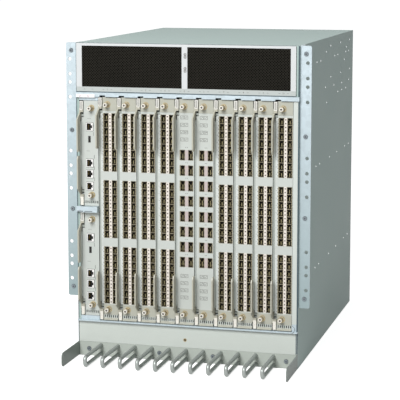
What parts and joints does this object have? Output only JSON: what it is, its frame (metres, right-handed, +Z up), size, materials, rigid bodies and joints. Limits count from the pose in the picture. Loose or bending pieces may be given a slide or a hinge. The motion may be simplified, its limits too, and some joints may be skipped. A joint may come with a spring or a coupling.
{
  "type": "modular chassis switch",
  "caption": "Rack-mount modular network switch: sheet-metal chassis with slide-in cards, ejector levers, vented top bezel, rack ears and a cable comb at the foot.",
  "frame": {"origin": "centre of the chassis footprint, on the surface that it stands on", "axes": "+X to the right along the front, +Y from the front to the rear, +Z up"},
  "size_m": [0.4794, 0.742, 0.613],
  "materials": {
    "case_grey": "grey powder coat, satin",
    "zinc": "galvanised sheet, satin",
    "card_face": "light grey, satin",
    "bezel_paint": "light grey paint, satin",
    "comb_grey": "grey paint, satin",
    "grille_black": "black mesh, matte",
    "lever_cream": "moulded, satin",
    "screw_steel": "dull steel",
    "circuit_board": "glass fibre board",
    "fan_casing": "satin",
    "rotor_black": "moulded, matte"
  },
  "bodies": {
    "chassis": {"outer_cover": "case_grey", "base_pan": "zinc", "card_shelves": "zinc", "control_divider": "zinc", "backplane": "circuit_board", "side_filler": "card_face", "vent_bezel": "bezel_paint", "vent_grilles": "grille_black", "lower_bezel": "bezel_paint", "cable_comb": "comb_grey", "rack_ear_left": "zinc", "rack_ear_right": "zinc", "chassis_screws": "screw_steel", "rear_bulkhead": "zinc"},
    "port_card_1": {"port_card_1": "card_face"},
    "port_lever_upper_1": {"port_lever_upper_1": "lever_cream"},
    "port_lever_lower_1": {"port_lever_lower_1": "lever_cream"},
    "port_card_2": {"port_card_2": "card_face"},
    "port_lever_upper_2": {"port_lever_upper_2": "lever_cream"},
    "port_lever_lower_2": {"port_lever_lower_2": "lever_cream"},
    "port_card_3": {"port_card_3": "card_face"},
    "port_lever_upper_3": {"port_lever_upper_3": "lever_cream"},
    "port_lever_lower_3": {"port_lever_lower_3": "lever_cream"},
    "port_card_4": {"port_card_4": "card_face"},
    "port_lever_upper_4": {"port_lever_upper_4": "lever_cream"},
    "port_lever_lower_4": {"port_lever_lower_4": "lever_cream"},
    "port_card_5": {"port_card_5": "card_face"},
    "port_lever_upper_5": {"port_lever_upper_5": "lever_cream"},
    "port_lever_lower_5": {"port_lever_lower_5": "lever_cream"},
    "port_card_6": {"port_card_6": "card_face"},
    "port_lever_upper_6": {"port_lever_upper_6": "lever_cream"},
    "port_lever_lower_6": {"port_lever_lower_6": "lever_cream"},
    "port_card_7": {"port_card_7": "card_face"},
    "port_lever_upper_7": {"port_lever_upper_7": "lever_cream"},
    "port_lever_lower_7": {"port_lever_lower_7": "lever_cream"},
    "port_card_8": {"port_card_8": "card_face"},
    "port_lever_upper_8": {"port_lever_upper_8": "lever_cream"},
    "port_lever_lower_8": {"port_lever_lower_8": "lever_cream"},
    "core_card_1": {"core_card_1": "card_face"},
    "core_lever_upper_1": {"core_lever_upper_1": "lever_cream"},
    "core_lever_lower_1": {"core_lever_lower_1": "lever_cream"},
    "core_card_2": {"core_card_2": "card_face"},
    "core_lever_upper_2": {"core_lever_upper_2": "lever_cream"},
    "core_lever_lower_2": {"core_lever_lower_2": "lever_cream"},
    "control_card_1": {"control_card_1": "card_face"},
    "control_lever_upper_1": {"control_lever_upper_1": "lever_cream"},
    "control_lever_lower_1": {"control_lever_lower_1": "lever_cream"},
    "control_card_2": {"control_card_2": "card_face"},
    "control_lever_upper_2": {"control_lever_upper_2": "lever_cream"},
    "control_lever_lower_2": {"control_lever_lower_2": "lever_cream"},
    "power_supply_1": {"power_supply_1": "zinc"},
    "power_supply_2": {"power_supply_2": "zinc"},
    "power_supply_3": {"power_supply_3": "zinc"},
    "power_supply_4": {"power_supply_4": "zinc"},
    "fan_module_1": {"fan_module_1": "fan_casing"},
    "fan_rotor_1": {"fan_rotor_1": "rotor_black"},
    "fan_module_2": {"fan_module_2": "fan_casing"},
    "fan_rotor_2": {"fan_rotor_2": "rotor_black"},
    "fan_module_3": {"fan_module_3": "fan_casing"},
    "fan_rotor_3": {"fan_rotor_3": "rotor_black"}
  },
  "joints": [
    {"name": "port_card_1_slide", "type": "slide", "parent": "chassis", "child": "port_card_1", "axis": [0, -1, 0], "range_m": [0, 0.4]},
    {"name": "port_lever_upper_1_hinge", "type": "hinge", "parent": "port_card_1", "child": "port_lever_upper_1", "pos_m": [-0.17042, -0.3, 0.4874], "axis": [-1, 0, 0], "range_deg": [0, 50]},
    {"name": "port_lever_lower_1_hinge", "type": "hinge", "parent": "port_card_1", "child": "port_lever_lower_1", "pos_m": [-0.17042, -0.3, 0.0954], "axis": [1, 0, 0], "range_deg": [0, 50]},
    {"name": "port_card_2_slide", "type": "slide", "parent": "chassis", "child": "port_card_2", "axis": [0, -1, 0], "range_m": [0, 0.4]},
    {"name": "port_lever_upper_2_hinge", "type": "hinge", "parent": "port_card_2", "child": "port_lever_upper_2", "pos_m": [-0.13228, -0.3, 0.4874], "axis": [-1, 0, 0], "range_deg": [0, 50]},
    {"name": "port_lever_lower_2_hinge", "type": "hinge", "parent": "port_card_2", "child": "port_lever_lower_2", "pos_m": [-0.13228, -0.3, 0.0954], "axis": [1, 0, 0], "range_deg": [0, 50]},
    {"name": "port_card_3_slide", "type": "slide", "parent": "chassis", "child": "port_card_3", "axis": [0, -1, 0], "range_m": [0, 0.4]},
    {"name": "port_lever_upper_3_hinge", "type": "hinge", "parent": "port_card_3", "child": "port_lever_upper_3", "pos_m": [-0.09413, -0.3, 0.4874], "axis": [-1, 0, 0], "range_deg": [0, 50]},
    {"name": "port_lever_lower_3_hinge", "type": "hinge", "parent": "port_card_3", "child": "port_lever_lower_3", "pos_m": [-0.09413, -0.3, 0.0954], "axis": [1, 0, 0], "range_deg": [0, 50]},
    {"name": "port_card_4_slide", "type": "slide", "parent": "chassis", "child": "port_card_4", "axis": [0, -1, 0], "range_m": [0, 0.4]},
    {"name": "port_lever_upper_4_hinge", "type": "hinge", "parent": "port_card_4", "child": "port_lever_upper_4", "pos_m": [-0.05597, -0.3, 0.4874], "axis": [-1, 0, 0], "range_deg": [0, 50]},
    {"name": "port_lever_lower_4_hinge", "type": "hinge", "parent": "port_card_4", "child": "port_lever_lower_4", "pos_m": [-0.05597, -0.3, 0.0954], "axis": [1, 0, 0], "range_deg": [0, 50]},
    {"name": "port_card_5_slide", "type": "slide", "parent": "chassis", "child": "port_card_5", "axis": [0, -1, 0], "range_m": [0, 0.4]},
    {"name": "port_lever_upper_5_hinge", "type": "hinge", "parent": "port_card_5", "child": "port_lever_upper_5", "pos_m": [0.05847, -0.3, 0.4874], "axis": [-1, 0, 0], "range_deg": [0, 50]},
    {"name": "port_lever_lower_5_hinge", "type": "hinge", "parent": "port_card_5", "child": "port_lever_lower_5", "pos_m": [0.05847, -0.3, 0.0954], "axis": [1, 0, 0], "range_deg": [0, 50]},
    {"name": "port_card_6_slide", "type": "slide", "parent": "chassis", "child": "port_card_6", "axis": [0, -1, 0], "range_m": [0, 0.4]},
    {"name": "port_lever_upper_6_hinge", "type": "hinge", "parent": "port_card_6", "child": "port_lever_upper_6", "pos_m": [0.09663, -0.3, 0.4874], "axis": [-1, 0, 0], "range_deg": [0, 50]},
    {"name": "port_lever_lower_6_hinge", "type": "hinge", "parent": "port_card_6", "child": "port_lever_lower_6", "pos_m": [0.09663, -0.3, 0.0954], "axis": [1, 0, 0], "range_deg": [0, 50]},
    {"name": "port_card_7_slide", "type": "slide", "parent": "chassis", "child": "port_card_7", "axis": [0, -1, 0], "range_m": [0, 0.4]},
    {"name": "port_lever_upper_7_hinge", "type": "hinge", "parent": "port_card_7", "child": "port_lever_upper_7", "pos_m": [0.13478, -0.3, 0.4874], "axis": [-1, 0, 0], "range_deg": [0, 50]},
    {"name": "port_lever_lower_7_hinge", "type": "hinge", "parent": "port_card_7", "child": "port_lever_lower_7", "pos_m": [0.13478, -0.3, 0.0954], "axis": [1, 0, 0], "range_deg": [0, 50]},
    {"name": "port_card_8_slide", "type": "slide", "parent": "chassis", "child": "port_card_8", "axis": [0, -1, 0], "range_m": [0, 0.4]},
    {"name": "port_lever_upper_8_hinge", "type": "hinge", "parent": "port_card_8", "child": "port_lever_upper_8", "pos_m": [0.17292, -0.3, 0.4874], "axis": [-1, 0, 0], "range_deg": [0, 50]},
    {"name": "port_lever_lower_8_hinge", "type": "hinge", "parent": "port_card_8", "child": "port_lever_lower_8", "pos_m": [0.17292, -0.3, 0.0954], "axis": [1, 0, 0], "range_deg": [0, 50]},
    {"name": "core_card_1_slide", "type": "slide", "parent": "chassis", "child": "core_card_1", "axis": [0, -1, 0], "range_m": [0, 0.4]},
    {"name": "core_lever_upper_1_hinge", "type": "hinge", "parent": "core_card_1", "child": "core_lever_upper_1", "pos_m": [-0.01783, -0.3, 0.4874], "axis": [-1, 0, 0], "range_deg": [0, 50]},
    {"name": "core_lever_lower_1_hinge", "type": "hinge", "parent": "core_card_1", "child": "core_lever_lower_1", "pos_m": [-0.01783, -0.3, 0.0954], "axis": [1, 0, 0], "range_deg": [0, 50]},
    {"name": "core_card_2_slide", "type": "slide", "parent": "chassis", "child": "core_card_2", "axis": [0, -1, 0], "range_m": [0, 0.4]},
    {"name": "core_lever_upper_2_hinge", "type": "hinge", "parent": "core_card_2", "child": "core_lever_upper_2", "pos_m": [0.02032, -0.3, 0.4874], "axis": [-1, 0, 0], "range_deg": [0, 50]},
    {"name": "core_lever_lower_2_hinge", "type": "hinge", "parent": "core_card_2", "child": "core_lever_lower_2", "pos_m": [0.02032, -0.3, 0.0954], "axis": [1, 0, 0], "range_deg": [0, 50]},
    {"name": "control_card_1_slide", "type": "slide", "parent": "chassis", "child": "control_card_1", "axis": [0, -1, 0], "range_m": [0, 0.4]},
    {"name": "control_lever_upper_1_hinge", "type": "hinge", "parent": "control_card_1", "child": "control_lever_upper_1", "pos_m": [-0.20858, -0.3, 0.2634], "axis": [-1, 0, 0], "range_deg": [0, 50]},
    {"name": "control_lever_lower_1_hinge", "type": "hinge", "parent": "control_card_1", "child": "control_lever_lower_1", "pos_m": [-0.20858, -0.3, 0.103], "axis": [1, 0, 0], "range_deg": [0, 50]},
    {"name": "control_card_2_slide", "type": "slide", "parent": "chassis", "child": "control_card_2", "axis": [0, -1, 0], "range_m": [0, 0.4]},
    {"name": "control_lever_upper_2_hinge", "type": "hinge", "parent": "control_card_2", "child": "control_lever_upper_2", "pos_m": [-0.20858, -0.3, 0.4798], "axis": [-1, 0, 0], "range_deg": [0, 50]},
    {"name": "control_lever_lower_2_hinge", "type": "hinge", "parent": "control_card_2", "child": "control_lever_lower_2", "pos_m": [-0.20858, -0.3, 0.3194], "axis": [1, 0, 0], "range_deg": [0, 50]},
    {"name": "power_supply_1_slide", "type": "slide", "parent": "chassis", "child": "power_supply_1", "axis": [0, 1, 0], "range_m": [0, 0.3]},
    {"name": "power_supply_2_slide", "type": "slide", "parent": "chassis", "child": "power_supply_2", "axis": [0, 1, 0], "range_m": [0, 0.3]},
    {"name": "power_supply_3_slide", "type": "slide", "parent": "chassis", "child": "power_supply_3", "axis": [0, 1, 0], "range_m": [0, 0.3]},
    {"name": "power_supply_4_slide", "type": "slide", "parent": "chassis", "child": "power_supply_4", "axis": [0, 1, 0], "range_m": [0, 0.3]},
    {"name": "fan_module_1_slide", "type": "slide", "parent": "chassis", "child": "fan_module_1", "axis": [0, 1, 0], "range_m": [0, 0.18]},
    {"name": "fan_rotor_1_spin", "type": "hinge", "parent": "fan_module_1", "child": "fan_rotor_1", "pos_m": [-0.14365, 0.2469, 0.3956], "axis": [0, 1, 0], "continuous": true},
    {"name": "fan_module_2_slide", "type": "slide", "parent": "chassis", "child": "fan_module_2", "axis": [0, 1, 0], "range_m": [0, 0.18]},
    {"name": "fan_rotor_2_spin", "type": "hinge", "parent": "fan_module_2", "child": "fan_rotor_2", "pos_m": [0, 0.2469, 0.3956], "axis": [0, 1, 0], "continuous": true},
    {"name": "fan_module_3_slide", "type": "slide", "parent": "chassis", "child": "fan_module_3", "axis": [0, 1, 0], "range_m": [0, 0.18]},
    {"name": "fan_rotor_3_spin", "type": "hinge", "parent": "fan_module_3", "child": "fan_rotor_3", "pos_m": [0.14365, 0.2469, 0.3956], "axis": [0, 1, 0], "continuous": true}
  ]
}
